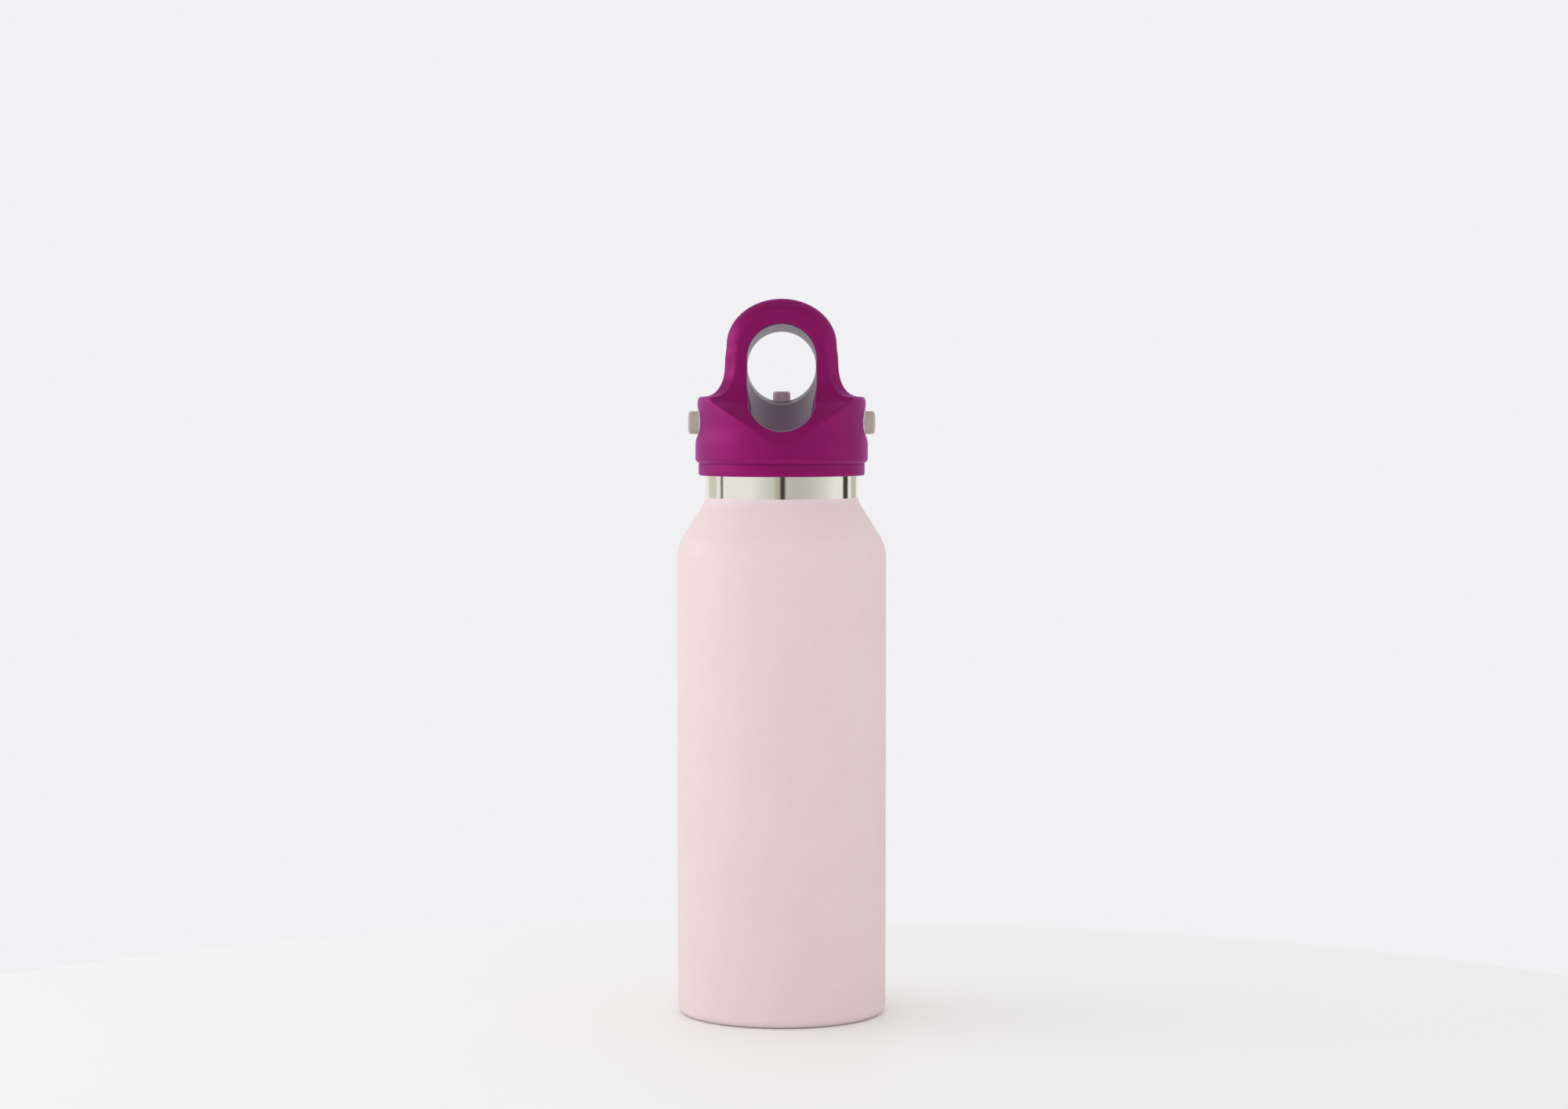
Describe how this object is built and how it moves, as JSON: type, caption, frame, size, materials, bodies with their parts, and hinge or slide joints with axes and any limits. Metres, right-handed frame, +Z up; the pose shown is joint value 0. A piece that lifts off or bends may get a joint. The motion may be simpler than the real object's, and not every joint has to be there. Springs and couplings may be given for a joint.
{
  "type": "insulated bottle",
  "caption": "Slim double-walled steel bottle with a lid that is squeezed at both sides to lift off, a vent button, and an upright carry ring with a lined finger hole.",
  "frame": {"origin": "middle of the base, on the table", "axes": "+Z up along the bottle, -Y is the front of the lid, +X to the right seen from the front"},
  "size_m": [0.073, 0.073, 0.2493],
  "materials": {
    "powder_coat": "pale pink powder coat, matte with a fine grain",
    "bare_steel": "turned and polished stainless steel",
    "lid_plastic": "satin moulded magenta plastic",
    "liner": "soft-touch grey mauve",
    "button_plastic": "satin warm grey",
    "vent_plastic": "satin mauve grey",
    "collar_plastic": "pale moulded plastic",
    "works_plastic": "plain pale moulded plastic",
    "silicone": "translucent white silicone rubber",
    "spring_steel": "bright spring steel",
    "seal_metal": "dull solder and sintered metal"
  },
  "bodies": {
    "bottle": {"outer_shell": "powder_coat", "mouth_ring": "bare_steel", "inner_vessel": "bare_steel", "base_plate": "powder_coat", "vacuum_seal": "seal_metal", "getter": "seal_metal"},
    "lid": {"lid_shell": "lid_plastic", "ring_liner": "liner", "works_tray": "works_plastic", "stopper_cup": "works_plastic", "neck_seal": "silicone", "rim_gasket": "silicone", "tray_screws": "spring_steel", "left_latch": "spring_steel", "right_latch": "spring_steel", "latch_screws": "spring_steel", "left_collar": "collar_plastic", "right_collar": "collar_plastic", "vent_collar": "collar_plastic", "vent_spring": "spring_steel"},
    "left_button": {"left_button": "button_plastic"},
    "right_button": {"right_button": "button_plastic"},
    "vent": {"vent_button": "vent_plastic", "vent_rod": "spring_steel", "vent_valve": "works_plastic", "vent_washer": "silicone"}
  },
  "joints": [
    {"name": "lid_lift", "type": "slide", "parent": "bottle", "child": "lid", "axis": [0, 0, 1], "range_m": [0, 0.05]},
    {"name": "left_button_press", "type": "slide", "parent": "lid", "child": "left_button", "axis": [1, 0, 0], "range_m": [0, 0.0025], "stiffness_N_per_m": 900, "springref_m": -0.002, "deforming": ["left_latch"]},
    {"name": "right_button_press", "type": "slide", "parent": "lid", "child": "right_button", "axis": [-1, 0, 0], "range_m": [0, 0.0025], "stiffness_N_per_m": 900, "springref_m": -0.002, "deforming": ["right_latch"]},
    {"name": "vent_button_press", "type": "slide", "parent": "lid", "child": "vent", "axis": [0, 0, -1], "range_m": [0, 0.0025], "stiffness_N_per_m": 900, "springref_m": -0.002, "deforming": ["vent_spring"]}
  ]
}
